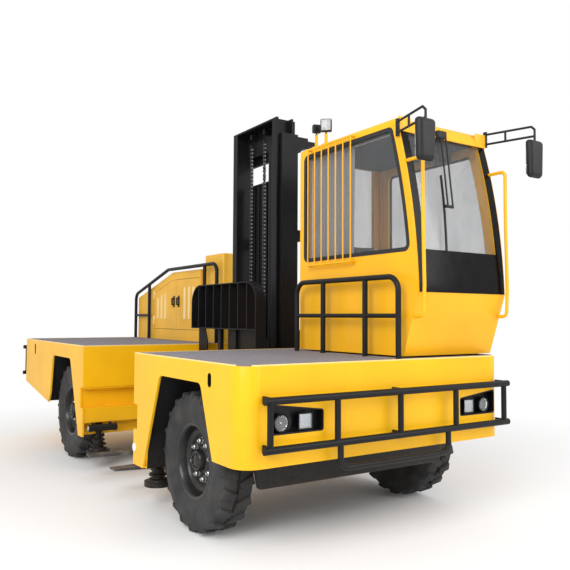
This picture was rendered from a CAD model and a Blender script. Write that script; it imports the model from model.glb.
# %% [markdown]
# # Side loader forklift
# This machine carries long loads on its deck and lifts them over its side. Its hard forms come
# from the CAD model, and this file gives them their finishes and adds the small things: nuts,
# seals, lenses, chain links, the deck's tread, the wiper, the curtain and the padded seat.
# Everything is in metres, with +X forwards, +Y to the driver's side and +Z up.

import math

import bmesh
import bpy
from mathutils import Matrix, Vector


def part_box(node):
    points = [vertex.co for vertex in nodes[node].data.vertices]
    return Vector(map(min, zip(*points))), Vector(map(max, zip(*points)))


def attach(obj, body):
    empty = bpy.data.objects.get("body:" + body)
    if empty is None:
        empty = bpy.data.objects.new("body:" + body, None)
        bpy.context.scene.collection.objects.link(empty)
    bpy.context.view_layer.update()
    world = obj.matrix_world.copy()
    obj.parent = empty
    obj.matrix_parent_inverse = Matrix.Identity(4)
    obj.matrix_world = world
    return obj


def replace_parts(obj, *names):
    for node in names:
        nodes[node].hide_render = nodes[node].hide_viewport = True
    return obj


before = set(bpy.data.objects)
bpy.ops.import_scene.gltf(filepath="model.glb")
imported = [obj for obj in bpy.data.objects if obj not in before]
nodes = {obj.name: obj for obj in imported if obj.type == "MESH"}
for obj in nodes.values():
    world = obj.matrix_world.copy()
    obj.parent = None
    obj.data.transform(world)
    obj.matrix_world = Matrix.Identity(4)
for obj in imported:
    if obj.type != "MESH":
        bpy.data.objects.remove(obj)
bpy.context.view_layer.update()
front_low, front_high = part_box("front_module")
rear_low, rear_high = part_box("rear_module")
middle = Vector(((front_high.x + rear_low.x) / 2, (front_low.y + front_high.y) / 2, 0))
deck_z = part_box("deck_plates")[1].z
wheel_places = ("front_load", "front_driver", "rear_load", "rear_driver")
print(len(nodes), "nodes, chassis middle at", tuple(round(v, 3) for v in middle))


def middle_of(name):
    """The centre of a CAD node's box."""
    low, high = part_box(name)
    return (low + high) / 2


# %% [markdown]
# The photograph was taken from the load side, ahead of the machine, at about head height. The
# camera's place and turn came from fitting a camera to points of the machine that can be
# measured, so the drawing of the real thing and this one line up. A second way is to turn the
# camera by eye, but then every other size is judged through a wrong lens.

# %% Camera
photo_width = 570
focal_pixels = 665.98
sensor = 36
look = Vector((-0.83239, 0.55207, 0.04843)).normalized()
roll = math.radians(0.284)

camera = bpy.data.objects.new("camera", bpy.data.cameras.new("camera"))
bpy.context.scene.collection.objects.link(camera)
camera.data.sensor_width = sensor
camera.data.lens = focal_pixels / photo_width * sensor
camera.location = middle + Vector((6.644, -3.349, 1.606))
camera.rotation_mode = "QUATERNION"
turned = look.to_track_quat("-Z", "Y").to_matrix() @ Matrix.Rotation(roll, 3, "Z")
camera.rotation_quaternion = turned.to_quaternion()
bpy.context.scene.camera = camera
bpy.context.scene.view_settings.view_transform = "Standard"

# %% [markdown]
# A shader is a graph, and long sums of Math nodes are hard to read when each node is wired by
# hand. One small class wraps an output socket, so that sums in Python build the Math nodes.
# Everything else, such as a noise or a bump, comes from one method of the material's class.

# %% Shader expressions
class Value:
    """An output socket whose arithmetic adds Math nodes to its tree."""

    def __init__(self, tree, socket):
        self.tree = tree
        self.socket = socket

    def math(self, operation, *values):
        node = self.tree.nodes.new("ShaderNodeMath")
        node.operation = operation
        for socket, value in zip(node.inputs, values):
            plug(self.tree, socket, value)
        return Value(self.tree, node.outputs[0])

    def __add__(self, other):
        return self.math("ADD", self, other)

    __radd__ = __add__

    def __sub__(self, other):
        return self.math("SUBTRACT", self, other)

    def __mul__(self, other):
        return self.math("MULTIPLY", self, other)

    __rmul__ = __mul__

    def __pow__(self, other):
        return self.math("POWER", self, other)


def plug(tree, socket, value):
    """Links a Value to an input socket, or sets a plain number, colour or vector on it."""
    if isinstance(value, Value):
        tree.links.new(value.socket, socket)
    elif socket.type == "RGBA":
        socket.default_value = (*value, 1)
    else:
        socket.default_value = value


class Finish:
    """A material whose Principled shader is filled by name."""

    def __init__(self, name):
        self.material = bpy.data.materials.new(name)
        self.material.use_nodes = True
        self.tree = self.material.node_tree
        self.tree.nodes.clear()
        self.shader = self.tree.nodes.new("ShaderNodeBsdfPrincipled")
        self.output = self.tree.nodes.new("ShaderNodeOutputMaterial")
        self.tree.links.new(self.shader.outputs[0], self.output.inputs[0])

    def node(self, kind, settings=None, output=0, **sockets):
        """A node of a kind, with its settings made first and its sockets filled by name."""
        node = self.tree.nodes.new("ShaderNode" + kind)
        for name, value in (settings or {}).items():
            setattr(node, name, value)
        for name, value in sockets.items():
            wanted = name.replace("_", " ")
            plug(self.tree, next(s for s in node.inputs if s.name == wanted and s.enabled), value)
        return Value(self.tree, node.outputs[output])

    def set(self, **sockets):
        """Fills the Principled shader's sockets and hands over the material."""
        for name, value in sockets.items():
            plug(self.tree, self.shader.inputs[name.replace("_", " ")], value)
        return self.material

    def place(self):
        return self.node("TexCoord", output="Object")

    def stretched(self, scale):
        return self.node("Mapping", Vector=self.place(), Scale=scale)

    def noise(self, scale, detail=3, vector=None):
        return self.node("TexNoise", output="Fac", Vector=vector or self.place(), Scale=scale, Detail=detail)

    def ramp(self, value, low, high):
        """0 up to one value, 1 from another on."""
        ramp = self.node("ValToRGB", Fac=value)
        for stop, position in zip(ramp.socket.node.color_ramp.elements, (low, high)):
            stop.position = position
        return ramp

    def mix(self, share, first, second):
        """Blends two colours. A Mix node has sockets for each type; the colours are 6, 7 and 2."""
        node = self.tree.nodes.new("ShaderNodeMix")
        node.data_type = "RGBA"
        plug(self.tree, node.inputs["Factor"], share)
        plug(self.tree, node.inputs[6], first)
        plug(self.tree, node.inputs[7], second)
        return Value(self.tree, node.outputs[2])

    def bump(self, height, distance, strength):
        return self.node("Bump", Height=height, Distance=distance, Strength=strength)

    def along(self, axis):
        """One of the object's own coordinates, which are the machine's: X, Y or Z."""
        return self.node("SeparateXYZ", output=axis, Vector=self.place())

    def inside(self, low, high):
        """1 between two corners of the machine's own space, 0 outside them."""
        share = 1
        for axis, from_, to in zip("XYZ", low, high):
            spot = self.along(axis)
            share = share * spot.math("GREATER_THAN", spot, from_) * spot.math("LESS_THAN", spot, to)
        return share


def shade(colour, by):
    """A colour made darker or lighter."""
    return tuple(min(1, c * by) for c in colour)


# %% [markdown]
# The machine is sprayed in a strong warm yellow. Real enamel is not one flat colour: it is a
# little cloudy, has a faint orange peel that breaks up reflections, and near the ground a film
# of dust dulls it. Noises of very different sizes give that, and the dust follows the height
# over the ground. The arches are sprayed with black underseal, which is a second colour inside
# a few boxes of the machine's own space. The deck's rims and the hood's cowls are rubbed pale.

# %% Paints
plate_inner = (front_high.y - front_low.y) / 2 - 0.0205
plate_outer = plate_inner + 0.020
arch_top = deck_z - 0.148
slot_half = 0.031
arch_front_x, arch_rear_x = middle_of("rim_front_load").x, middle_of("rim_rear_load").x
slot_front_x, slot_rear_x = front_high.x - 0.435, rear_low.x + 0.605
black_rows = [
    # X from and to, reach from the middle to the load side and to the driver's side, Z from and to
    (arch_front_x - 0.645, arch_front_x + 0.645, plate_inner, plate_inner, 0, arch_top),
    (arch_rear_x - 0.585, arch_rear_x + 0.655, plate_inner, plate_inner, 0, arch_top),
    (slot_front_x - slot_half, slot_front_x + slot_half, plate_outer, 0, 1.12, 1.23),
    (slot_rear_x - slot_half, slot_rear_x + slot_half, plate_outer, 0, 1.10, 1.26),
]
black_boxes = [
    ((x0, middle.y - load, z0), (x1, middle.y + driver, z1)) for x0, x1, load, driver, z0, z1 in black_rows
]


def painted(
    name, colour, roughness, dust, shine, coat, cloud=0.05, dust_top=0.75, blacks=(), rim_z=None, proud_y=None
):
    """Sprayed paint: cloudy colour, orange peel, and a film of dust that fades out with height."""
    finish = Finish(name)
    clouds = finish.ramp(finish.noise(1.7, 4), 0.3, 0.7)
    tone = finish.mix(clouds, shade(colour, 1 - cloud * 2), shade(colour, 1 + cloud))
    height = finish.along("Z")
    if rim_z is not None:
        rubbed = height.math("GREATER_THAN", height, rim_z) * (0.35 + 0.5 * finish.noise(14, 5))
        tone = finish.mix(rubbed, tone, (0.95, 0.78, 0.42))
    if proud_y is not None:
        depth = finish.along("Y")
        rubbed = depth.math("LESS_THAN", depth, proud_y) * (0.5 + 0.4 * finish.noise(9, 4))
        tone = finish.mix(rubbed, tone, (0.97, 0.80, 0.46))
    underseal = 0
    for low, high in blacks:
        underseal = underseal + finish.inside(low, high)
    if blacks:
        tone = finish.mix(underseal, tone, (0.009, 0.009, 0.010))
    low = finish.node("MapRange", Value=height, From_Min=0.15, From_Max=dust_top, To_Min=dust, To_Max=0)
    film = low * (0.35 + 0.65 * finish.ramp(finish.noise(38, 6), 0.42, 0.66))
    return finish.set(
        Base_Color=finish.mix(film, tone, (0.30, 0.24, 0.16)),
        Roughness=roughness + 0.10 * finish.noise(6, 5) + 0.35 * film + 0.3 * underseal,
        Normal=finish.bump(finish.noise(210, 2), 0.0004, 0.35),
        Coat_Weight=coat,
        Coat_Roughness=0.12,
        Specular_IOR_Level=shine,
        IOR=1.45,
    )


rim_z = deck_z - 0.006
cowl_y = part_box("hood")[0].y + 0.0145
yellow_paint = painted(
    "yellow_enamel", (0.95, 0.50, 0.006), 0.33, 0.08, 0.3, 0.10, blacks=black_boxes, rim_z=rim_z
)
cab_paint = painted("cab_enamel", (0.95, 0.47, 0.008), 0.34, 0.05, 0.3, 0.10)
hood_paint = painted("hood_enamel", (0.92, 0.49, 0.030), 0.40, 0.0, 0.35, 0.10, cloud=0.07, proud_y=cowl_y)
frame_black = painted("charcoal_satin", (0.010, 0.010, 0.011), 0.40, 0.08, 0.2, 0.05, cloud=0.15)
mast_black = painted("mast_satin", (0.008, 0.0075, 0.009), 0.46, 0.02, 0.2, 0.03, cloud=0.2)
rim_black = painted("rim_gloss", (0.006, 0.006, 0.007), 0.30, 0.05, 0.4, 0.2, cloud=0.15, dust_top=0.9)


# %% [markdown]
# Castings under the machine and the forged forks are black too, but rough: a coarse bump and a
# strong spread of roughness tell them from sheet metal. Bare metal has fine scratches instead.

# %% Iron, steel and chrome
def rough_iron(name, colour, grain, roughness, rub):
    """Cast or forged iron under thin paint, rubbed bare in patches."""
    finish = Finish(name)
    pits = finish.noise(grain, 5)
    bare = finish.ramp(finish.noise(9, 6), 0.55 - 0.1 * rub, 0.72) * rub
    return finish.set(
        Base_Color=finish.mix(bare, colour, (0.33, 0.32, 0.31)),
        Metallic=bare,
        Roughness=roughness + 0.2 * pits - 0.15 * bare,
        Normal=finish.bump(pits, 0.0012, 0.5),
    )


def bright_metal(name, colour, roughness, grain=60):
    """Bare metal with fine scratches."""
    finish = Finish(name)
    scratches = finish.noise(grain, 6, finish.stretched((1, 1, 14)))
    return finish.set(
        Base_Color=finish.mix(scratches * 0.4, colour, shade(colour, 0.6)),
        Metallic=1.0,
        Roughness=roughness + 0.22 * scratches,
        Normal=finish.bump(scratches, 0.0002, 0.3),
    )


axle_iron = rough_iron("axle_iron", (0.022, 0.022, 0.023), 45, 0.5, 0.15)
fork_steel = rough_iron("fork_steel", (0.055, 0.055, 0.057), 60, 0.42, 0.6)
chain_oiled = rough_iron("chain_oiled", (0.016, 0.015, 0.014), 70, 0.35, 0.2)
chain_rubbed = rough_iron("chain_rubbed", (0.34, 0.34, 0.33), 70, 0.35, 0.3)
chain_steel = bright_metal("chain_steel", (0.50, 0.49, 0.46), 0.28)
rod_chrome = bright_metal("rod_chrome", (0.86, 0.86, 0.87), 0.06)
nut_zinc = bright_metal("nut_zinc", (0.62, 0.62, 0.61), 0.22)
lamp_bowl = bright_metal("lamp_bowl", (0.50, 0.51, 0.54), 0.30, grain=25)
work_bowl = bright_metal("work_bowl", (0.20, 0.20, 0.22), 0.35, grain=25)


# %% [markdown]
# Rubber, plastic, glass and cloth. The tyres are the largest black things in the picture, and
# what makes rubber look like rubber is a soft, uneven grey bloom and fine rings from the mould.

# %% Rubber, plastic, glass, vinyl and cloth
def rubber(name, colour, bloom_colour, bloom):
    """Black rubber with a grey bloom."""
    finish = Finish(name)
    grit = finish.noise(120, 4)
    return finish.set(
        Base_Color=finish.mix(finish.ramp(finish.noise(7, 7), 0.35, 0.75) * bloom, colour, bloom_colour),
        Roughness=0.62 + 0.22 * grit,
        Normal=finish.bump(grit, 0.0006, 0.5),
    )


def moulded(name, colour, roughness, grain=260, shine=0.3):
    """Moulded plastic with a fine leather-like grain."""
    finish = Finish(name)
    cells = finish.node("TexVoronoi", output="Distance", Vector=finish.place(), Scale=grain)
    worn = finish.noise(12, 4)
    return finish.set(
        Base_Color=finish.mix(worn * 0.35, colour, shade(colour, 1.7)),
        Roughness=roughness + 0.15 * worn,
        Normal=finish.bump(cells, 0.0004, 0.35),
        Specular_IOR_Level=shine,
    )


def pane(name, tint, roughness, alpha):
    """Thin glass: mostly see-through, with sharp reflections and faint smears."""
    finish = Finish(name)
    smears = finish.ramp(finish.noise(5, 6, finish.stretched((1, 1, 0.3))), 0.45, 0.8)
    return finish.set(
        Base_Color=tint,
        Roughness=roughness + 0.10 * smears,
        Alpha=alpha + 0.10 * smears,
        IOR=1.5,
        Specular_IOR_Level=0.8,
    )


def vinyl(name, colour, creased_colour):
    """Vinyl: fine leather grain and a soft uneven sheen."""
    finish = Finish(name)
    cells = finish.node("TexVoronoi", output="Distance", Vector=finish.place(), Scale=420)
    creases = finish.noise(30, 6)
    return finish.set(
        Base_Color=finish.mix(creases * 0.5, colour, creased_colour),
        Roughness=0.38 + 0.25 * creases,
        Normal=finish.bump(cells + 0.6 * creases, 0.0006, 0.5),
    )


def thin_cloth(name, colour):
    """Plain cloth with a fine weave."""
    finish = Finish(name)
    weave = finish.node("TexWave", {"bands_direction": "Z"}, Vector=finish.place(), Scale=160, Distortion=0.4)
    return finish.set(
        Base_Color=finish.mix(finish.noise(9, 3) * 0.3, colour, shade(colour, 0.7)),
        Roughness=0.85,
        Normal=finish.bump(weave, 0.0003, 0.3),
        Sheen_Weight=0.2,
    )


tyre_rubber = rubber("tyre_rubber", (0.014, 0.014, 0.015), (0.055, 0.052, 0.050), 0.7)
seal_rubber = rubber("seal_rubber", (0.012, 0.012, 0.013), (0.03, 0.03, 0.03), 0.4)
lamp_plastic = moulded("lamp_plastic", (0.006, 0.006, 0.007), 0.28)
mirror_plastic = moulded("mirror_plastic", (0.010, 0.010, 0.011), 0.42)
trim_plastic = moulded("trim_plastic", (0.045, 0.045, 0.048), 0.5)
dark_lining = moulded("dark_lining", (0.030, 0.028, 0.026), 0.75)
band_black = moulded("band_black", (0.002, 0.002, 0.0025), 0.06, grain=40, shine=0.12)
marker_white = moulded("marker_white", (0.80, 0.80, 0.78), 0.15, grain=90)
cab_pane = pane("cab_pane", (0.16, 0.17, 0.18), 0.02, 0.20)
lens_glass = pane("lens_glass", (0.85, 0.88, 0.9), 0.03, 0.2)
seat_vinyl = vinyl("seat_vinyl", (0.012, 0.012, 0.013), (0.032, 0.031, 0.031))
curtain_cloth = thin_cloth("curtain_cloth", (0.42, 0.42, 0.44))


# %% [markdown]
# The deck is anti-slip plate, a grey that is nearly lilac in the shade of the photograph. The
# lozenges are real geometry further down, and the plate under them gets scuffs.

# %% Deck plate
def tread_plate(name, colour):
    """Grey deck paint, scuffed along the machine."""
    finish = Finish(name)
    scuffs = finish.ramp(finish.noise(11, 7, finish.stretched((1, 3, 1))), 0.45, 0.7)
    grit = finish.noise(90, 5)
    return finish.set(
        Base_Color=finish.mix(scuffs * 0.45, colour, shade(colour, 0.55)),
        Roughness=0.55 + 0.25 * grit,
        Normal=finish.bump(grit, 0.0008, 0.5),
    )


deck_grey = tread_plate("deck_grey", (0.215, 0.203, 0.222))

# %% [markdown]
# Every CAD node gets its finish here, from one table. A slot is a Blender object's place for a
# material, and a CAD mesh has one, so assigning to it never touches the shape.

# %% Finishes of the CAD nodes
finish_rows = [
    # material, the nodes that wear it
    (yellow_paint, "front_module rear_module traverse_rails"),
    (hood_paint, "tank hood hood_door_rear hood_door_front"),
    (cab_paint, "cab_tub cab_frame cab_roof cab_door window_guard grab_rails"),
    (deck_grey, "deck_plates"),
    (frame_black, "underframe jack_housings jack_front jack_rear front_bar rear_bar rear_rail"),
    (frame_black, "cab_rail traverse_carriage tilt_barrels"),
    (mast_black, "outer_mast inner_mast lift_cylinder fork_carriage backrest"),
    (chain_steel, "lift_chains"),
    (rod_chrome, "tilt_rods"),
    (fork_steel, "forks"),
    (axle_iron, "front_axle rear_axle knuckle_load knuckle_driver tie_rod engine"),
    (lamp_plastic, "headlamps work_lamps"),
    (mirror_plastic, "mirrors"),
    (seal_rubber, "cab_mounts"),
    (trim_plastic, "cab_boxes steering_column seat"),
    (cab_pane, "cab_glass door_window"),
    (tyre_rubber, " ".join("tyre_" + place for place in wheel_places)),
    (rim_black, " ".join("rim_" + place for place in wheel_places)),
]
for material, names in finish_rows:
    for name in names.split():
        nodes[name].data.materials.clear()
        nodes[name].data.materials.append(material)
print(sum(len(names.split()) for _, names in finish_rows), "of", len(nodes), "nodes finished")

# %% [markdown]
# Pressed and welded steel has no razor edges. The CAD solids are sharp, so a Weld modifier
# joins their loose triangles and a Bevel modifier rounds what turns by more than forty degrees.
# A bevel catches a thin highlight, which is most of what tells metal from a drawing.

# %% Rounded edges on the CAD nodes
rounded_rows = [
    # width of the round in metres, the nodes that get it
    (0.002, "hood_door_rear hood_door_front headlamps"),
    (0.003, "cab_door traverse_rails outer_mast inner_mast fork_carriage traverse_carriage underframe"),
    (0.004, "cab_tub cab_frame cab_roof hood tank backrest forks knuckle_load knuckle_driver rear_axle"),
    (0.005, "front_module rear_module front_axle"),
    (0.008, "cab_boxes"),
]
for width, names in rounded_rows:
    for name in names.split():
        nodes[name].modifiers.new("joined", "WELD").merge_threshold = 0.00002
        bevel = nodes[name].modifiers.new("rounded", "BEVEL")
        bevel.width = width
        bevel.segments = 2
        bevel.limit_method = "ANGLE"
        bevel.angle_limit = math.radians(40)
        bevel.harden_normals = False
        bevel.use_clamp_overlap = True

# %% [markdown]
# Every new piece below is a bmesh that starts from a cube, cone, grid or drawn outline and is
# shaped by operators. These helpers keep each step to one readable line, and make_piece turns
# the bmesh into an object that rides on a body of the machine.

# %% Helpers for small solids
def move(bm, verts, by):
    bmesh.ops.translate(bm, verts=verts, vec=by)


def scale(bm, verts, by, pivot=None):
    """Scales vertices about the origin, or about a pivot."""
    about = {} if pivot is None else {"space": Matrix.Translation(-Vector(pivot))}
    bmesh.ops.scale(bm, verts=verts, vec=by, **about)


def turn(bm, verts, angle, axis):
    bmesh.ops.rotate(bm, verts=verts, cent=(0, 0, 0), matrix=Matrix.Rotation(angle, 3, axis))


def round_off(bm, verts, width, segments=2):
    """Bevels all edges at some vertices, and gives the vertices that are there then."""
    edges = list({e for v in verts for e in v.link_edges})
    return bmesh.ops.bevel(
        bm, geom=edges, offset=width, segments=segments, profile=0.5, affect="EDGES", material=-1
    )["verts"]


def thicken(bm, faces, by):
    """Extrudes faces along a vector."""
    grown = bmesh.ops.extrude_face_region(bm, geom=faces)["geom"]
    move(bm, [g for g in grown if isinstance(g, bmesh.types.BMVert)], by)


def box_solid(bm, low, high, round_by=0.0, segments=2):
    """A block between two corners, with all its edges rounded if asked."""
    low, high = Vector(low), Vector(high)
    made = bmesh.ops.create_cube(bm, size=1)["verts"]
    scale(bm, made, high - low)
    move(bm, made, (low + high) / 2)
    return round_off(bm, made, round_by, segments) if round_by else made


def rod_solid(bm, start, end, radius, sides=24, end_radius=None):
    """A round bar or cone from one point to another."""
    start, end = Vector(start), Vector(end)
    run = end - start
    bmesh.ops.create_cone(
        bm,
        cap_ends=True,
        segments=sides,
        radius1=radius,
        radius2=radius if end_radius is None else end_radius,
        depth=run.length,
        matrix=Matrix.Translation((start + end) / 2) @ run.to_track_quat("Z", "Y").to_matrix().to_4x4(),
    )


def turned_solid(bm, section, centre, axis, steps):
    """Spins an open section of (along, radius) points round an axis through a centre."""
    axis = Vector(axis)
    across = axis.orthogonal().normalized()
    points = [bm.verts.new(Vector(centre) + axis * along + across * radius) for along, radius in section]
    edges = [bm.edges.new(pair) for pair in zip(points, points[1:])]
    bmesh.ops.spin(
        bm, geom=points + edges, cent=centre, axis=axis, angle=math.tau, steps=steps, use_merge=True
    )
    bmesh.ops.remove_doubles(bm, verts=bm.verts[:], dist=1e-6)


def make_piece(name, bm, material, body="chassis", sharp=35, outward=True, slot=None):
    """Turns a bmesh into a named object at the origin that rides on a body."""
    if outward:
        bmesh.ops.recalc_face_normals(bm, faces=bm.faces)
    mesh = bpy.data.meshes.new(name)
    bm.to_mesh(mesh)
    bm.free()
    mesh.materials.append(material)
    mesh.shade_smooth()
    mesh.set_sharp_from_angle(angle=math.radians(sharp))
    made = bpy.data.objects.new(name, mesh)
    bpy.context.scene.collection.objects.link(made)
    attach(made, body)
    return made


def solids(name, material, blocks=(), rods=(), **how):
    """A piece of blocks and rods, each a row of what its helper takes after the bmesh."""
    bm = bmesh.new()
    for row in blocks:
        box_solid(bm, *row)
    for row in rods:
        rod_solid(bm, *row)
    return make_piece(name, bm, material, **how)


def spun(name, material, section, centre, out, steps, **how):
    """A piece that is one section spun round an axis."""
    bm = bmesh.new()
    turned_solid(bm, section, centre, out, steps)
    return make_piece(name, bm, material, **how)


# %% [markdown]
# The tyres are the parts that touch the ground, so their outline has to be truly round. The
# CAD tyre is right in size, but its facets show, so a finer one is spun from half of the same
# section: bead, bulging sidewall with two mould rings, shoulder and crown. The lugs are blocks
# cut to the crown and turned a little, twenty on each shoulder, and staggered left to right.

# %% Tyres
lug_count = 20
lug_height = 0.026
lug_length = 0.088
lug_skew = math.radians(20)
lug_reach, lug_middle = 0.90, 0.51
lug_inner_share, lug_top_share = 0.72, 0.84
bead_depth = 0.018


def tyre_side(half, outer, inner):
    """Half of a tyre's section as (along the axle, radius), from bead to the middle of the crown."""
    crown = outer - lug_height
    rows = [
        # radius to start from, shares of the half width with the rise over that radius
        (inner, [(0.74, 0), (0.79, 0.012), (0.86, 0.035), (0.93, 0.075), (0.975, 0.115), (0.995, 0.120)]),
        (inner, [(0.998, 0.150), (0.988, 0.156), (0.975, 0.185), (0.955, 0.192)]),
        (outer, [(0.93, -0.045)]),
        (crown, [(0.88, -0.006), (0.80, 0), (0.35, 0.003), (0.08, 0.003), (0.05, -0.010), (0, -0.010)]),
    ]
    return [(half * share, start + rise) for start, pairs in rows for share, rise in pairs]


for place in wheel_places:
    low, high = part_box("tyre_" + place)
    rim_low, rim_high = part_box("rim_" + place)
    centre = (low + high) / 2
    outer = (high.z - low.z) / 2
    half = (high.y - low.y) / 2
    side = tyre_side(half, outer, (rim_high.z - rim_low.z) / 2 - bead_depth)
    bm = bmesh.new()
    section = side + [(-along, radius) for along, radius in reversed(side[:-1])]
    turned_solid(bm, section, centre, (0, 1, 0), 100)
    for shoulder in (-1, 1):
        for i in range(lug_count):
            angle = math.tau * (i + 0.25 * (1 + shoulder)) / lug_count
            lug = bmesh.ops.create_cube(bm, size=1)["verts"]
            scale(bm, lug, (lug_length, half * lug_reach, lug_height * 2.2))
            scale(bm, [v for v in lug if v.co.y * shoulder < 0], (lug_inner_share, 1, 1))
            top = [v for v in lug if v.co.z > 0]
            scale(bm, top, (lug_top_share, 1, 1))
            move(bm, [v for v in top if v.co.y * shoulder > 0], (0, -shoulder * 0.012, -0.007))
            lug = round_off(bm, lug, 0.006)
            turn(bm, lug, shoulder * lug_skew, "Z")
            move(bm, lug, (0, shoulder * half * lug_middle, outer - lug_height * 1.12))
            turn(bm, lug, angle, "Y")
            move(bm, lug, centre)
    tyre = make_piece("road_tyre_" + place, bm, tyre_rubber, "wheel_" + place, sharp=50)
    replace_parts(tyre, "tyre_" + place)

# %% [markdown]
# The rims are deep dishes. A spun section gives the flange, the lock ring and the dish, and
# the hub stands out in the middle. The eight wheel nuts are plated and bright, and they are the
# only shine in the whole wheel, so each one is a real nut with a washer and a rounded end.

# %% Rims, hubs and nuts
nut_count = 8
nut_circle = 0.142
nut_seat = 0.023
hub_bolt_circle = 0.052
hub_bolt_height, hub_bolt_radius = 0.008, 0.0085
front_hub, rear_hub = 0.096, 0.112
rim_edge = 0.115
nut_steps = [
    # start and end outwards, radius, sides, end radius
    (0, 0.004, 0.025, 24, None),
    (0.004, 0.026, 0.0215, 6, None),
    (0.026, 0.032, 0.0185, 24, 0.0145),
    (0.032, 0.040, 0.0115, 24, 0.0105),
]


def nut_spots(centre, turned, radius, out):
    """Places round an axle, the first one turned by a share of the pitch."""
    for i in range(nut_count):
        angle = math.tau * (i + turned) / nut_count
        yield centre + Vector((radius * math.cos(angle), out, radius * math.sin(angle)))


for place in wheel_places:
    body = "wheel_" + place
    rim_low, rim_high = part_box("rim_" + place)
    centre = middle_of("tyre_" + place)
    side = 1 if centre.y > middle.y else -1
    flange = (rim_high.z - rim_low.z) / 2
    hub_reach = front_hub if "front" in place else rear_hub
    rows = [
        # along and radius to start from, steps along and out from there
        (-rim_edge, flange, [(0, -0.012), (0, 0), (0.010, 0), (0.012, -0.022)]),
        (0, flange, [(-0.05, -0.026)]),
        (rim_edge, flange, [(-0.040, -0.026), (-0.030, -0.018), (-0.012, -0.014), (-0.010, 0)]),
        (rim_edge, flange, [(-0.003, 0.002), (0, -0.003), (0, -0.016), (-0.006, -0.024)]),
        (rim_edge, flange, [(-0.016, -0.028), (-0.024, -0.034), (-0.060, -0.038)]),
        (0, flange, [(0.038, -0.046), (0.030, -0.056), (0.024, -0.075)]),
        (0, 0, [(0.020, 0.185), (0.024, 0.165), (0.024, 0.118), (0.034, 0.108), (0.044, 0.098)]),
        (0, 0, [(0.048, 0.088)]),
        (hub_reach, 0, [(-0.012, 0.078), (-0.004, 0.074), (0, 0.066), (0, 0.030)]),
        (hub_reach, 0, [(0.003, 0.026), (0.004, 0)]),
    ]
    section = [(side * (start + along), base + up) for start, base, steps in rows for along, up in steps]
    bm = bmesh.new()
    turned_solid(bm, section, centre, (0, 1, 0), 72)
    for spot in nut_spots(centre, 0.5, hub_bolt_circle, side * (hub_reach - 0.001)):
        rod_solid(bm, spot, spot + Vector((0, side * hub_bolt_height, 0)), hub_bolt_radius, 6)
    rim = make_piece("dished_rim_" + place, bm, rim_black, body, sharp=40)
    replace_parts(rim, "rim_" + place)
    out = Vector((0, side, 0))
    nuts = [
        (spot + out * start, spot + out * end, *rest)
        for spot in nut_spots(centre, 0.25, nut_circle, side * nut_seat)
        for start, end, *rest in nut_steps
    ]
    solids("wheel_nuts_" + place, nut_zinc, rods=nuts, body=body, sharp=30)

# %% [markdown]
# Anti-slip plate has rows of small lozenges, turned one way and then the other. Cut by hand
# they would be thousands of shapes, so one pair of them is repeated by two Array modifiers,
# the result is made one mesh, and the lozenges beyond the deck's round corners or under the
# cab, the hood and the tank are deleted.

# %% Deck tread
tread_pitch = 0.052
tread_margin = 0.02
lozenge_width = 0.36
corner_radius = 0.128
stood_on = [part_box(name) for name in ("cab_tub", "hood", "tank")]


def on_deck(spot, low, high, round_x):
    """Tells whether a spot is inside one deck plate, clear of its two round corners and what stands on it."""
    margin = tread_margin
    if not (low.x + margin < spot.x < high.x - margin and low.y + margin < spot.y < high.y - margin):
        return False
    inner_x = round_x - math.copysign(corner_radius, round_x - (low.x + high.x) / 2)
    past_x = abs(spot.x - inner_x) if (spot.x - inner_x) * (round_x - inner_x) > 0 else 0
    past_y = max(low.y + corner_radius - spot.y, spot.y - (high.y - corner_radius), 0)
    if past_x and past_y and math.hypot(past_x, past_y) > corner_radius - margin:
        return False
    return not any(a.x < spot.x < b.x and a.y < spot.y < b.y for a, b in stood_on)


def tread_field(name, low, high, round_x):
    """Two crossed arrays of lozenges between two corners of the deck, kept where they are on it."""
    bm = bmesh.new()
    for angle, shift in ((45, 0.0), (-45, tread_pitch / 2)):
        made = bmesh.ops.create_cone(
            bm, cap_ends=True, segments=6, radius1=0.0125, radius2=0.008, depth=0.0022
        )["verts"]
        start = tread_pitch / 2 + shift
        scale(bm, made, (1, lozenge_width, 1))
        turn(bm, made, math.radians(angle), "Z")
        move(bm, made, (low.x + start, low.y + start, deck_z + 0.001))
    each = len(bm.verts) // 2
    seed = make_piece(name, bm, deck_grey, sharp=20)
    for step in ((tread_pitch, 0, 0), (0, tread_pitch, 0)):
        array = seed.modifiers.new("rows", "ARRAY")
        array.use_relative_offset = False
        array.use_constant_offset = True
        array.constant_offset_displace = step
        array.count = int((high - low).dot(Vector(step).normalized()) / tread_pitch)
    bpy.context.view_layer.update()
    whole = bpy.data.meshes.new_from_object(seed.evaluated_get(bpy.context.evaluated_depsgraph_get()))
    seed.modifiers.clear()
    bm = bmesh.new()
    bm.from_mesh(whole)
    bm.verts.ensure_lookup_table()
    gone = []
    for start in range(0, len(bm.verts), each):
        lozenge = bm.verts[start : start + each]
        if not on_deck(sum((v.co for v in lozenge), Vector()) / each, low, high, round_x):
            gone.extend(lozenge)
    bmesh.ops.delete(bm, geom=gone, context="VERTS")
    bm.to_mesh(seed.data)
    bm.free()
    seed.data.set_sharp_from_angle(angle=math.radians(20))


tread_field("front_tread", front_low, front_high, front_high.x)
tread_field("rear_tread", rear_low, rear_high, rear_low.x)

# %% [markdown]
# The cab's windows sit in black rubber, and the windscreen is bonded, with a black printed
# border and a deep black band across its foot. The windscreen bows in side view, so one small
# function gives how far forward it stands at each height: a circle through its top, its middle
# and its sill. Flat grids are then moved onto that circle, which is simpler than bending them.

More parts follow.
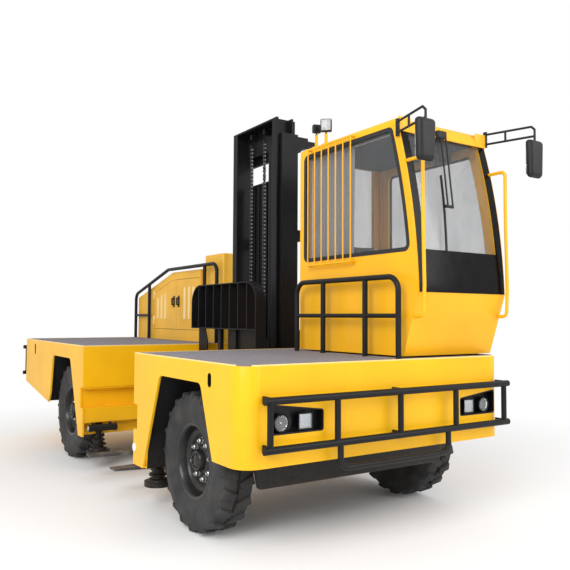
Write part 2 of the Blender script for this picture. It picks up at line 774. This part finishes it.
# %% The windscreen's bow
cab_frame_low, cab_roof_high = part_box("cab_frame")[0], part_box("cab_roof")[1]
cab_rear_x, sill_z = cab_frame_low.x, cab_frame_low.z
cab_load_y, cab_driver_y = cab_frame_low.y, cab_roof_high.y
cab_top_z = cab_roof_high.z
cab_base_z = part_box("cab_tub")[0].z
roof_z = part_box("cab_roof")[0].z
top_x = cab_rear_x + 1.315
sill_x = cab_rear_x + 1.555
bow_x = (top_x + sill_x) / 2 + 0.050


def circle_through(first, second, third):
    """Centre and radius of the circle through three (x, z) points."""
    (ax, az), (bx, bz), (cx, cz) = first, second, third
    twice_area = 2 * (ax * (bz - cz) + bx * (cz - az) + cx * (az - bz))
    a2, b2, c2 = ax * ax + az * az, bx * bx + bz * bz, cx * cx + cz * cz
    x = (a2 * (bz - cz) + b2 * (cz - az) + c2 * (az - bz)) / twice_area
    z = (a2 * (cx - bx) + b2 * (ax - cx) + c2 * (bx - ax)) / twice_area
    return x, z, math.hypot(ax - x, az - z)


bow_centre_x, bow_centre_z, bow_radius = circle_through(
    (top_x, cab_top_z), (bow_x, (cab_top_z + sill_z) / 2), (sill_x, sill_z)
)


def screen_x(z, inset=0.0):
    """How far forward the windscreen stands at one height, above the sill."""
    return bow_centre_x + math.sqrt((bow_radius - inset) ** 2 - (z - bow_centre_z) ** 2)


# %% [markdown]
# The windscreen is wider than its opening: it is glued over the pillars, and its rim is printed
# black there. So the border is two sheets on the pillars' faces, and a deep one across the foot.
# Each is a grid whose vertices move forward to the bow. A yellow visor closes the head.

# %% Windscreen border and visor
screen_low_y, screen_high_y = cab_load_y + 0.014, cab_driver_y - 0.010
screen_low_z, screen_high_z = sill_z + 0.004, roof_z - 0.002
pillar_face = 0.086
band_top_z = cab_base_z + 0.822
visor_low_z, visor_high_z = screen_high_z - 0.052, screen_high_z + 0.028
border_strips = [
    # low Y, high Y, low Z, high Z
    (screen_low_y, screen_high_y, screen_low_z, band_top_z),
    (screen_low_y, cab_load_y + pillar_face, band_top_z, screen_high_z),
    (cab_driver_y - pillar_face, screen_high_y, band_top_z, screen_high_z),
]
visor_strip = (cab_load_y + 0.004, cab_driver_y - 0.004, visor_low_z, visor_high_z)


def screen_sheet(bm, strip, out, thickness):
    """A thin curved plate on the windscreen's bow, standing a little out of it."""
    low_y, high_y, low_z, high_z = strip
    made = bmesh.ops.create_grid(bm, x_segments=1, y_segments=16, size=0.5)["verts"]
    for vert in made:
        y = low_y + (vert.co.x + 0.5) * (high_y - low_y)
        z = low_z + (vert.co.y + 0.5) * (high_z - low_z)
        vert.co = (screen_x(z, -out), y, z)
    thicken(bm, list({f for v in made for f in v.link_faces}), (-thickness, 0, 0))


bm = bmesh.new()
for strip in border_strips:
    screen_sheet(bm, strip, out=0.004, thickness=0.006)
make_piece("screen_border", bm, band_black)
bm = bmesh.new()
screen_sheet(bm, visor_strip, out=0.016, thickness=0.020)
visor = make_piece("screen_visor", bm, cab_paint, slot="cab_trim")
visor_round = visor.modifiers.new("rounded", "BEVEL")
visor_round.width = 0.004
visor_round.segments = 2

# %% [markdown]
# A window rubber is a ring: the outline of the opening, and the same outline a little smaller.
# The ring comes from one flat face that is inset, loses its middle and is given thickness. The
# outline follows the opening's rounded corners, and its front edge follows the bow.

# %% Window rubbers
def ring_piece(name, outline, along, width, material, body="chassis"):
    """A flat ring along an outline, inset by a width and thickened along a vector."""
    bm = bmesh.new()
    face = bm.faces.new([bm.verts.new(p) for p in outline])
    bm.normal_update()
    bmesh.ops.inset_region(bm, faces=[face], thickness=width, use_even_offset=True, use_boundary=True)
    bmesh.ops.delete(bm, geom=[face], context="FACES")
    thicken(bm, bm.faces[:], along)
    make_piece(name, bm, material, body)


def window_outline(y, low_x, low_z, high_z, inset, corner, steps=6, rows=10):
    """The outline of a side window in the plane of one Y: straight behind, bowed in front."""
    low, high = low_z + corner, high_z - corner
    points = []
    for x, z, start in (
        (low_x + corner, low, 180),
        (screen_x(low, inset) - corner, low, 270),
        (screen_x(high, inset) - corner, high, 0),
        (low_x + corner, high, 90),
    ):
        if start == 0:
            heights = [low + (high - low) * i / rows for i in range(1, rows)]
            points += [(screen_x(height, inset), height) for height in heights]
        angles = [math.radians(start + 90 * i / steps) for i in range(steps + 1)]
        points += [(x + corner * math.cos(angle), z + corner * math.sin(angle)) for angle in angles]
    return [(x, y, z) for x, z in points]


pillar_inset = 0.062
door_gap = 0.001
door_inset = pillar_inset + 0.006 + 0.075
window_z = cab_base_z + 0.808
load_window = window_outline(cab_load_y + 0.020, cab_rear_x + 0.062, window_z, roof_z, pillar_inset, 0.06)
ring_piece("load_window_rubber", load_window, (0, -0.022, 0), 0.034, seal_rubber)
low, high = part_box("door_window")
door_window = window_outline(high.y, low.x - door_gap, low.z - door_gap, high.z + door_gap, door_inset, 0.054)
ring_piece("door_window_rubber", door_window, (0, 0.008, 0), 0.022, seal_rubber, "door")

# %% [markdown]
# Inside, the cab is dark: a grey lining under the roof and on the walls, a dash below the
# windscreen and a heater in the top corner. None of it is seen alone, but without it the glass
# shows bright yellow walls behind, which reads as an empty shell.

# %% Cab lining
wall = 0.045
wall_x, wall_y = cab_rear_x + wall, cab_load_y + wall
wall_low, wall_top_z = (wall_x, wall_y, cab_base_z + wall), window_z - 0.02
far_y = cab_driver_y - wall
cloth = 0.006
dash_x = screen_x(sill_z + 0.1) - 0.30
dash_low = (dash_x, cab_load_y + 0.06, sill_z - 0.06)
dash_high = (dash_x + 0.20, cab_driver_y - 0.06, sill_z + 0.21)
cluster_low = (dash_x - 0.05, cab_load_y + 0.30, sill_z + 0.10)
cluster_high = (dash_x + 0.12, cab_driver_y - 0.30, sill_z + 0.27)
lining_low, lining_high = (wall_x, wall_y, roof_z - 0.030), (top_x - 0.03, far_y, roof_z + 0.015)
solids("roof_lining", dark_lining, [(lining_low, lining_high, 0.010)])
rear_cloth = (wall_low, (wall_x + cloth, far_y, wall_top_z))
side_cloth = (wall_low, (sill_x - 0.17, wall_y + cloth, wall_top_z))
solids("wall_lining", dark_lining, [rear_cloth, side_cloth])
solids("dash_panel", trim_plastic, [(dash_low, dash_high, 0.03, 3), (cluster_low, cluster_high, 0.03, 3)])
heater = Vector((top_x - 0.26, cab_driver_y - 0.30, roof_z - 0.10))
solids(
    "cab_heater",
    trim_plastic,
    [(heater - Vector((0.09, 0.13, 0.06)), heater + Vector((0.09, 0.13, 0.07)), 0.015)],
    [(heater + Vector((0, 0, 0.06)), heater + Vector((0, 0, 0.10)), 0.012)],
)

# %% [markdown]
# The wiper hangs from the head of the windscreen on two parallel arms, so its blade stays
# upright as it sweeps. The arms are thin rods, the blade a narrow bar with a rubber lip.

# %% Wiper
wiper_y = (screen_low_y + screen_high_y) / 2 - 0.06
head_z = screen_high_z - 0.02
arm_length = 0.62
elbow_z = head_z - arm_length
head_x, elbow_x = screen_x(head_z), screen_x(elbow_z)
blade_y = wiper_y - 0.105
blade_length, blade_lean = 0.62, 0.045
blade_rise = 0.26
blade_steps = 10


def blade_spot(i, out):
    """A point along the blade, some way out of the windscreen."""
    z = elbow_z + blade_rise - blade_length * i / blade_steps
    return screen_x(z) + out, blade_y + 0.020 - blade_lean * i / blade_steps, z


mount_low = (head_x - 0.005, wiper_y - 0.05, head_z - 0.035)
mount_high = (head_x + 0.055, wiper_y + 0.05, head_z + 0.03)
elbow_low = (elbow_x + 0.030, wiper_y - 0.115, elbow_z - 0.012)
elbow_high = (elbow_x + 0.052, wiper_y - 0.025, elbow_z + 0.012)
rods = [((elbow_x + 0.038, blade_y, elbow_z), (elbow_x + 0.018, blade_y, elbow_z), 0.008, 12)]
for y in (wiper_y - 0.028, wiper_y + 0.028):
    arm_head = (head_x + 0.040, y + 0.020, head_z - 0.01)
    rods.append((arm_head, (elbow_x + 0.045, y - 0.062, elbow_z), 0.007, 12))
for out, radius, sides in ((0.020, 0.007, 8), (0.008, 0.004, 6)):
    rods += [(blade_spot(i, out), blade_spot(i + 1, out), radius, sides) for i in range(blade_steps)]
solids("wiper", mirror_plastic, [(mount_low, mount_high, 0.01), (elbow_low, elbow_high, 0.005)], rods)

# %% [markdown]
# A pleated curtain hangs inside the load side window, gathered over its rear half. It is a
# sheet of cloth, so it is declared with the width it was cut to. The pleats are a sine in plan
# that grows a little towards the hem.

# %% Curtain
curtain_low_x, curtain_high_x = cab_rear_x + 0.075, cab_rear_x + 0.70
curtain_y = cab_load_y + wall + 0.045
curtain_low_z, curtain_high_z = window_z - 0.01, roof_z - 0.035
pleats = 15
pleat_depth = 0.014
bm = bmesh.new()
bmesh.ops.create_grid(bm, x_segments=pleats * 12, y_segments=14, size=0.5)
for vert in bm.verts:
    across, up = vert.co.x + 0.5, vert.co.y + 0.5
    phase = math.tau * pleats * (across + 0.006 * math.sin(17 * across + 3 * up))
    depth = pleat_depth * (1.25 - 0.45 * up) * (0.85 + 0.15 * math.sin(9 * across))
    vert.co = (
        curtain_low_x + across * (curtain_high_x - curtain_low_x),
        curtain_y + depth * math.sin(phase),
        curtain_low_z + up * (curtain_high_z - curtain_low_z) + 0.004 * math.sin(phase) * (1 - up),
    )
curtain = make_piece("curtain", bm, curtain_cloth, sharp=180, outward=False)
rail_z = curtain_high_z + 0.008
rail = ((curtain_low_x - 0.02, curtain_y, rail_z), (sill_x - 0.24, curtain_y, rail_z), 0.008, 16)
solids("curtain_rail", rod_chrome, rods=[rail])

# %% [markdown]
# The mirrors hang from two arms of bent tube on plates at the cab's corners. Each head is a
# soft box: a cube, drawn in at its foot and rounded with a wide bevel. Its glass faces backwards.

# %% Mirrors
mirror_low, mirror_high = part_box("mirrors")
plate_low_z, plate_high_z = 3.075, 3.193
shelf_z = plate_low_z + 0.025
plate_x = screen_x(shelf_z) + 0.014
root_x, tip_x = plate_x - 0.006, mirror_high.x - 0.030
arm_spread = 0.085
arm_bend = 0.03
rung_share = 0.42
head_height = 0.325
mirror_rows = [
    # side, Y of the arm's root, Y of its tip, Z of the upper tube, Z of the head's top
    ("load", cab_load_y - 0.015, mirror_low.y + 0.100, 3.145, 3.060),
    ("driver", cab_driver_y + 0.015, mirror_high.y - 0.100, 3.200, 3.085),
]
for side_name, root_y, tip_y, arm_z, head_z in mirror_rows:
    low_z, foot_z = arm_z - arm_spread, head_z - head_height
    bend_z = arm_z - arm_bend
    rung = Vector((root_x, root_y, 0)).lerp(Vector((tip_x, tip_y, 0)), rung_share)
    routes = [
        [(root_x, root_y, arm_z), (tip_x - arm_bend, tip_y, arm_z), (tip_x, tip_y, bend_z)],
        [(root_x, root_y, low_z), (tip_x, tip_y, low_z)],
        [(tip_x, tip_y, bend_z), (tip_x, tip_y, head_z - 0.05)],
        [(rung.x, rung.y, low_z), (rung.x, rung.y, arm_z)],
    ]
    bm = bmesh.new()
    for route in routes:
        for start, end in zip(route, route[1:]):
            rod_solid(bm, start, end, 0.0095, 16)
            bmesh.ops.create_icosphere(bm, subdivisions=2, radius=0.0098, matrix=Matrix.Translation(end))
    root_low = (root_x - 0.018, root_y - 0.008, low_z - 0.03)
    box_solid(bm, root_low, (root_x + 0.018, root_y + 0.008, arm_z + 0.025), 0.003)
    arm = make_piece("mirror_arm_" + side_name, bm, mirror_plastic)
    if side_name == "load":
        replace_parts(arm, "mirrors")
    bm = bmesh.new()
    made = box_solid(bm, (tip_x - 0.034, tip_y - 0.098, foot_z), (tip_x + 0.034, tip_y + 0.098, head_z))
    front = [v for v in made if v.co.x > tip_x]
    foot = [v for v in made if v.co.z < head_z - 0.1]
    pivot = (tip_x, tip_y, (head_z + foot_z) / 2)
    scale(bm, front, (1, 0.84, 0.92), pivot)
    scale(bm, foot, (0.9, 0.90, 1), pivot)
    round_off(bm, made, 0.033, 6)
    make_piece("mirror_head_" + side_name, bm, mirror_plastic, sharp=60)
    panes = [
        ((tip_x - 0.037, tip_y - 0.072, pane_low), (tip_x - 0.032, tip_y + 0.072, pane_high), 0.002)
        for pane_low, pane_high in ((foot_z + 0.035, foot_z + 0.105), (foot_z + 0.115, head_z - 0.035))
    ]
    solids("mirror_glass_" + side_name, rod_chrome, panes)
plates = []
for low_y, high_y in ((cab_load_y - 0.008, cab_load_y + 0.120), (cab_driver_y - 0.120, cab_driver_y + 0.008)):
    plates.append(((plate_x - 0.008, low_y, plate_low_z), (plate_x + 0.002, high_y, plate_high_z), 0.002))
    shelf_low = (plate_x - 0.045, low_y + 0.02, shelf_z - 0.02)
    plates.append((shelf_low, (plate_x - 0.006, high_y - 0.02, shelf_z), 0.002))
solids("mirror_plates", cab_paint, plates)

# %% [markdown]
# Two work lamps stand on yellow plates along the load side of the roof. Each is a cast box with
# a bright bowl and a pane in front. The first looks back over the load, the second ahead.

# %% Work lamps
work_low, work_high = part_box("work_lamps")
work_y = (work_low.y + work_high.y) / 2
stand_z = work_low.z - 0.002
work_rows = [
    # X, width, height, turn about Z of a lamp that looks along +X
    (work_low.x + 0.045, 0.080, 0.080, math.radians(160)),
    (work_high.x - 0.045, 0.105, 0.120, math.radians(-42)),
]
housing, bowls, panes, stands = (bmesh.new() for _ in range(4))
lamp_layers = [
    # bmesh, X from and to, margin inside the housing, rounding
    (housing, -0.030, 0.022, 0.0, 0.012),
    (bowls, 0.016, 0.0235, 0.009, 0.003),
    (panes, 0.0245, 0.029, 0.010, 0.002),
]
for x, width, height, angle in work_rows:
    spot = Vector((x, work_y, work_high.z - 0.045))
    for target, back_x, front_x, margin, round_by in lamp_layers:
        half_y, half_z = width / 2 - margin, height / 2 - margin
        made = box_solid(target, (back_x, -half_y, -half_z), (front_x, half_y, half_z), round_by)
        turn(target, made, angle, "Z")
        move(target, made, spot)
    rod_solid(housing, spot - Vector((0, 0, height / 2 + 0.02)), spot, 0.008, 12)
    top_z = spot.z - height / 2 - 0.012
    box_solid(stands, (x - 0.021, work_y - 0.004, stand_z), (x + 0.021, work_y + 0.004, top_z), 0.002)
    plate_low, plate_high = (x - 0.032, work_y - 0.030, stand_z), (x + 0.032, work_y + 0.010, stand_z + 0.007)
    box_solid(stands, plate_low, plate_high, 0.002)
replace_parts(make_piece("work_lamp_housing", housing, lamp_plastic), "work_lamps")
make_piece("work_lamp_bowls", bowls, work_bowl)
make_piece("work_lamp_panes", panes, lens_glass)
make_piece("work_lamp_stands", stands, cab_paint)

# %% [markdown]
# Each headlamp is a bright bowl behind a clear lens. A bowl is spun from an arc, and the lens
# is a low dome. Without the bowl a lamp is only a black hole in the panel.

# %% Headlamps
arc_steps = 8
lens_ribs = 8


def lamp_on(name, centre, radius):
    """A round lamp that looks ahead: a bright bowl with its bulb, a black bezel and a domed lens."""
    out = Vector((1, 0, 0))
    shares = [i / arc_steps for i in range(arc_steps + 1)]
    bm = bmesh.new()
    turned_solid(bm, [(-0.030 + 0.034 * s**2, 0.008 + (radius - 0.010) * s) for s in shares], centre, out, 36)
    rod_solid(bm, centre - out * 0.030, centre - out * 0.004, 0.009, 16, 0.006)
    make_piece(name + "_bowl", bm, rod_chrome, sharp=60)
    bezel = [
        (-0.034, radius), (0.006, radius + 0.001), (0.010, radius - 0.003), (0.008, radius - 0.008),
        (-0.002, radius - 0.009),
    ]
    spun(name + "_bezel", lamp_plastic, bezel, centre, out, 36)
    dome = [(0.003 + 0.008 * (1 - s**2), (radius - 0.008) * s) for s in shares]
    spun(name + "_lens", lens_glass, dome, centre, out, 36, sharp=60)


def square_lamp_on(name, centre, half_y, half_z, margin=0.008):
    """A rounded square lamp that looks ahead: a bright bowl, a black bezel and a flat ribbed lens."""
    bm = bmesh.new()
    low, high = centre - Vector((0.020, half_y, half_z)), centre + Vector((0, half_y, half_z))
    made = box_solid(bm, low, high, 0.012, 3)
    scale(bm, [v for v in made if v.co.x < centre.x - 0.010], (1, 0.6, 0.6), centre)
    rod_solid(bm, centre, centre + Vector((0.003, 0, 0)), 0.014, 20)
    make_piece(name + "_bowl", bm, lamp_bowl, sharp=60)
    corners = ((-1, -1), (1, -1), (1, 1), (-1, 1))
    outline = [centre + Vector((-0.010, y * half_y, z * half_z)) for y, z in corners]
    ring_piece(name + "_bezel", outline, (0.018, 0, 0), 0.008, lamp_plastic)
    ribs = []
    rib = (half_y - margin) * 2 / lens_ribs
    for i in range(lens_ribs):
        low_y = centre.y - half_y + margin + i * rib
        low = (centre.x + 0.003, low_y, centre.z - half_z + margin)
        ribs.append((low, (centre.x + 0.007, low_y + rib, centre.z + half_z - margin), 0.001))
    solids(name + "_lens", lens_glass, ribs)


lamp_recess = 0.026
round_radius = 0.060
lamp_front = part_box("headlamps")[1].x - lamp_recess
lamp_rows = [
    # name, Y of the round lamp, Y of the square one, Z of both
    ("load_headlamp", middle.y - 0.935, middle.y - 0.745, 0.9135),
    ("driver_headlamp", middle.y + 1.040, middle.y + 0.860, 0.9025),
]
for name, round_y, square_y, lamp_z in lamp_rows:
    lamp_on(name + "_round", Vector((lamp_front + 0.008, round_y, lamp_z)), round_radius)
    square_lamp_on(name + "_square", Vector((lamp_front + 0.010, square_y, lamp_z)), 0.058, 0.056)

# %% [markdown]
# A leaf chain is rows of thin figure-of-eight plates on pins, and from some way off it reads as
# a line of bright dashes. Each plate is two discs joined by a waist, so one outline is extruded,
# and the same few lines put an inner or an outer pair on every pitch. The plates are oily and
# dark, and the pins are rubbed bright, which is what makes the dashes.

# %% Lift chains
chain_low, chain_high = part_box("lift_chains")
chain_pitch = 0.042
chain_half = 0.017
chain_y = (chain_low.y + chain_high.y) / 2
plate_thickness = 0.006
inner_pair, outer_pair = (-0.0045, 0.0045), (-0.0115, 0.0115)


def link_plate(bm, x, y, z):
    """One plate of a leaf chain, standing across X: two lobes with a waist between."""
    lobe, waist = 0.0125, 0.0065
    rows = [(-lobe, 0.5), (-lobe * 0.7, 1), (0.0, 1.05), (lobe * 0.8, 0.85), (chain_pitch / 2, 0.0)]
    half = [(z + up, waist + (lobe - waist) * wide) for up, wide in rows]
    half += [(2 * z + chain_pitch - up, out) for up, out in reversed(half[:-1])]
    outline = [(y + out, up) for up, out in half] + [(y - out, up) for up, out in reversed(half)]
    face = bm.faces.new([bm.verts.new((x - plate_thickness / 2, along, up)) for along, up in outline])
    thicken(bm, [face], (plate_thickness, 0, 0))


links, pins = bmesh.new(), bmesh.new()
for x in (chain_low.x + chain_half, chain_high.x - chain_half):
    for i in range(int((chain_high.z - chain_low.z - 0.05) / chain_pitch)):
        z = chain_low.z + 0.013 + i * chain_pitch
        for offset in inner_pair if i % 2 else outer_pair:
            link_plate(links, x + offset, chain_y, z)
        rod_solid(pins, (x - chain_half, chain_y, z), (x + chain_half, chain_y, z), 0.0095, 8)
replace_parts(make_piece("link_chains", links, chain_oiled, "mast_inner", sharp=30), "lift_chains")
make_piece("chain_pins", pins, chain_rubbed, "mast_inner", sharp=30)

# %% [markdown]
# Behind the chains the oil lines run up the inner mast on a folded tray. It is what makes the
# middle of the mast dark from the load side, with only small gaps of daylight near the top.

# %% Pipe tray
tray_low_x, tray_high_x = chain_low.x - 0.10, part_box("lift_cylinder")[0].x - 0.025
tray_y = chain_high.y + 0.062
tray_foot_z, tray_top_z = deck_z + 0.06, 3.10
tray_lip = 0.022
back_y = tray_y + 0.004
sheets = [((tray_low_x, tray_y, tray_foot_z), (tray_high_x, back_y, tray_top_z), 0.001)]
for x in (tray_low_x, tray_high_x):
    sheets.append(((x - 0.002, tray_y - tray_lip, tray_foot_z), (x + 0.002, back_y, tray_top_z), 0.001))
pipes = []
pipe_heights = (tray_foot_z + 0.02, tray_top_z - 0.04, tray_top_z - 0.01)
for share in (0.2, 0.4, 0.6, 0.8):
    x = tray_low_x + share * (tray_high_x - tray_low_x)
    foot, head, end = ((x, tray_y - 0.010, z) for z in pipe_heights)
    pipes += [(foot, head, 0.009, 12), (head, end, 0.014, 6)]
solids("pipe_tray", mast_black, sheets, pipes, body="mast_inner")

# %% [markdown]
# A folded black beam closes the space under the nose, between the front tyres. From the front
# it is the dark band below the yellow edge. It is a block that narrows downwards, with rounded
# lower edges and a row of bolt heads.

# %% Nose beam
nose_z = 0.640
beam_low_x, beam_high_x = front_high.x - 0.275, front_high.x - 0.190
beam_low_y, beam_high_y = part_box("front_axle")[0].y - 0.06, middle.y + 0.75
beam_drop = 0.200
bolt_z = nose_z - 0.045
bm = bmesh.new()
made = box_solid(bm, (beam_low_x, beam_low_y, nose_z - beam_drop), (beam_high_x, beam_high_y, nose_z))
lower = [v for v in made if v.co.z < nose_z - beam_drop / 2]
scale(bm, lower, (0.7, 0.96, 1), (beam_low_x, middle.y, 0))
round_off(bm, lower, 0.012, 3)
for y in (middle.y - 0.5, middle.y - 0.25, middle.y + 0.25, middle.y + 0.5):
    rod_solid(bm, (beam_high_x - 0.02, y, bolt_z), (beam_high_x + 0.004, y, bolt_z), 0.013, 6)
make_piece("nose_beam", bm, frame_black)

# %% [markdown]
# Each jack ends in a stack: a wide pad, a ball joint's dome and two rubber-lipped rings above.
# One section is spun for both jacks, and each stack rides on its own leg.

# %% Jack pads
stack_section = [
    (0.028, 0.1175), (0.034, 0.112), (0.038, 0.092), (0.055, 0.086), (0.060, 0.078), (0.062, 0.056),
    (0.082, 0.052), (0.086, 0.078), (0.098, 0.082), (0.104, 0.076), (0.106, 0.054), (0.128, 0.050),
    (0.132, 0.066), (0.146, 0.068), (0.150, 0.060), (0.152, 0.0385),
]
for jack in ("front", "rear"):
    foot = middle_of("jack_" + jack)
    foot.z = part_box("jack_" + jack)[0].z
    leg = "jack_leg_" + jack
    spun("jack_stack_" + jack, frame_black, stack_section, foot, (0, 0, 1), 40, body=leg, sharp=40)

# %% [markdown]
# The seat is two padded cushions. Each starts as a block cut into a fine grid. A crown lifts the
# middle, the sides draw in between the corners, and two sewn channels are pressed in. The back
# is the same form stood up, with round shoulders. A cloth simulation could blow them up, but
# they sit in shade behind tinted glass, so formulas on the vertices are enough.

# %% Padded seat
seat_low, seat_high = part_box("seat")
back_depth = 0.11
pad_top = seat_low.z + 0.12
channel_at, channel_width, channel_depth = 0.45, 0.06, 0.16


def cushion(name, low, high, face_axis, crown, shoulder=0.0):
    """A padded block: crowned on one side, drawn in at its flanks, with two sewn channels."""
    low, high = Vector(low), Vector(high)
    centre, half = (low + high) / 2, (high - low) / 2
    flat_axes = [axis for axis in range(3) if axis != face_axis]
    bm = bmesh.new()
    bmesh.ops.create_cube(bm, size=2)
    bmesh.ops.subdivide_edges(bm, edges=bm.edges[:], cuts=13, use_grid_fill=True)
    for vert in bm.verts:
        spot = vert.co.copy()
        across, along = spot[flat_axes[0]], spot[flat_axes[1]]
        face = spot[face_axis]
        rim = max(abs(across), abs(along)) ** 6
        pad = (1 - across**2) * (1 - along**2)
        channel = math.exp(-(((abs(spot.y) - channel_at) / channel_width) ** 2)) * (1 - rim)
        up = max(face, 0)
        raised = crown * pad - channel_depth * channel
        spot[face_axis] = face * (1 - 0.30 * rim * up) + raised * up
        drawn = 1 - 0.045 * (1 - face**2) - 0.03 * rim * face**2
        for axis, other in (flat_axes, flat_axes[::-1]):
            spot[axis] *= drawn * (1 - 0.035 * (1 - vert.co[other] ** 2) * abs(vert.co[axis]))
        if shoulder and spot.z > 0:
            spot.y *= math.sqrt(max(0.0, 1 - shoulder * spot.z**4))
        vert.co = centre + Vector(spot[i] * half[i] for i in range(3))
    piece = make_piece(name, bm, seat_vinyl, sharp=180)
    soft = piece.modifiers.new("soft", "SUBSURF")
    soft.levels = soft.render_levels = 1
    return piece


pad_low = (seat_low.x + back_depth + 0.004, seat_low.y, seat_low.z)
back_low = (seat_low.x + 0.012, seat_low.y, seat_low.z + 0.01)
back_high = (seat_low.x + back_depth, seat_high.y, seat_high.z)
shell_low = (seat_low.x, seat_low.y + 0.05, seat_low.z)
shell_high = (seat_low.x + 0.016, seat_high.y - 0.05, seat_high.z - 0.12)
cushion("seat_cushion", pad_low, (seat_high.x, seat_high.y, pad_top), 2, 0.10)
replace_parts(cushion("seat_back", back_low, back_high, 0, 0.16, shoulder=0.45), "seat")
solids("seat_shell", trim_plastic, [(shell_low, shell_high, 0.006)])

# %% [markdown]
# Small fittings come last: pull handles on the hood doors, a round marker lens by the mast bay,
# and the valve cylinder under the rear rail, with its bright end.

# %% Handles, marker and valve
hood_face_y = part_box("hood_door_rear")[0].y + 0.010
grip_y = hood_face_y - 0.026
handle_z = 1.810
door_split_x = (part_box("hood_door_rear")[1].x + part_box("hood_door_front")[0].x) / 2
for place, x in (("rear", door_split_x - 0.075), ("front", door_split_x + 0.075)):
    plate_low = (x - 0.022, hood_face_y - 0.004, handle_z - 0.075)
    plate_high = (x + 0.022, hood_face_y + 0.004, handle_z + 0.075)
    rods = [((x, grip_y, handle_z - 0.045), (x, grip_y, handle_z + 0.045), 0.010, 16)]
    rods += [((x, grip_y, z), (x, hood_face_y, z), 0.009, 12) for z in (handle_z - 0.042, handle_z + 0.042)]
    solids("handle_" + place, lamp_plastic, [(plate_low, plate_high, 0.003)], rods, body="hood_flap_" + place)

out = (0, -1, 0)
marker_spot = Vector((front_low.x + 0.030, front_low.y, 0.50))
marker_section = [(-0.001, 0.036), (0.006, 0.036), (0.009, 0.032), (0.011, 0.0)]
spun("bay_marker", marker_white, marker_section, marker_spot, out, 32, sharp=50)

valve_x, valve_z = rear_high.x + 0.020, 0.442
valve_start, valve_neck, valve_end = ((valve_x, rear_low.y + run, valve_z) for run in (0.06, 0.33, 0.36))
hanger_top_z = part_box("traverse_rails")[0].z + 0.004
hangers = [
    ((valve_x - 0.02, y, valve_z + 0.02), (valve_x + 0.02, y + 0.02, hanger_top_z), 0.002)
    for y in (rear_low.y + 0.10, rear_low.y + 0.28)
]
barrel = [(valve_start, valve_neck, 0.036, 28), (valve_neck, valve_end, 0.041, 28)]
solids("valve_cylinder", frame_black, hangers, barrel)
end_section = [(0.0, 0.030), (0.010, 0.029), (0.014, 0.022), (0.014, 0.0)]
spun("valve_end", nut_zinc, end_section, valve_start, out, 28, sharp=50)

# %% [markdown]
# The floor is pale and plain, and the light is that of a large bright hall. A sun lamp would
# give hard shadows that the photograph doesn't have, so two wide area lamps and an even sky
# light the machine at a level where a colour renders about as it is written. The sky is white to
# the camera and to reflections, so that glass and paint show a clean studio. The floor keeps the
# machine's shadow near it and turns into that white further out, so that no horizon shows.

# %% Floor and light
floor_half = 60
sky_level = 0.74
lit_height = 1.2
bm = bmesh.new()
bmesh.ops.create_grid(bm, x_segments=1, y_segments=1, size=floor_half)
floor_mesh = bpy.data.meshes.new("floor")
bm.to_mesh(floor_mesh)
bm.free()
floor = bpy.data.objects.new("floor", floor_mesh)
bpy.context.scene.collection.objects.link(floor)
floor_finish = Finish("pale_floor")
floor_finish.set(Base_Color=(0.94, 0.94, 0.94), Roughness=0.9, Specular_IOR_Level=0.2)
away_x = floor_finish.along("X") - middle.x
away_y = floor_finish.along("Y") - middle.y
away = (away_x * away_x + away_y * away_y) ** 0.5
far = floor_finish.node("MapRange", Value=away, From_Min=2.2, From_Max=6.0, To_Min=0, To_Max=1)
seen = floor_finish.node("LightPath", output="Is Camera Ray")
glow = floor_finish.node("Emission")
blend = floor_finish.tree.nodes.new("ShaderNodeMixShader")
lit = Value(floor_finish.tree, floor_finish.shader.outputs[0])
for socket, value in zip(blend.inputs, (seen * far, lit, glow)):
    plug(floor_finish.tree, socket, value)
floor_finish.tree.links.new(blend.outputs[0], floor_finish.output.inputs[0])
floor_mesh.materials.append(floor_finish.material)

world = bpy.data.worlds.new("hall")
bpy.context.scene.world = world
world.use_nodes = True
sky = world.node_tree.nodes["Background"]
ray = world.node_tree.nodes.new("ShaderNodeLightPath")
seen, mirrored = (Value(world.node_tree, ray.outputs[name]) for name in ("Is Camera Ray", "Is Glossy Ray"))
sky.inputs["Color"].default_value = (1, 1, 1, 1)
shown = seen.math("MAXIMUM", seen, mirrored)
plug(world.node_tree, sky.inputs["Strength"], sky_level + (1 - sky_level) * shown)

area_lamps = [
    # name, place from the machine's middle, size, power
    ("key_lamp", (7.0, -8.5, 7.0), 6.0, 800),
    ("fill_lamp", (9.0, 4.0, 5.0), 5.0, 260),
]
for name, place, size, power in area_lamps:
    light = bpy.data.lights.new(name, "AREA")
    light.size = size
    light.energy = power
    lamp = bpy.data.objects.new(name, light)
    lamp.location = middle + Vector(place)
    aim = middle + Vector((0, 0, lit_height)) - lamp.location
    lamp.rotation_euler = aim.to_track_quat("-Z", "Y").to_euler()
    bpy.context.scene.collection.objects.link(lamp)
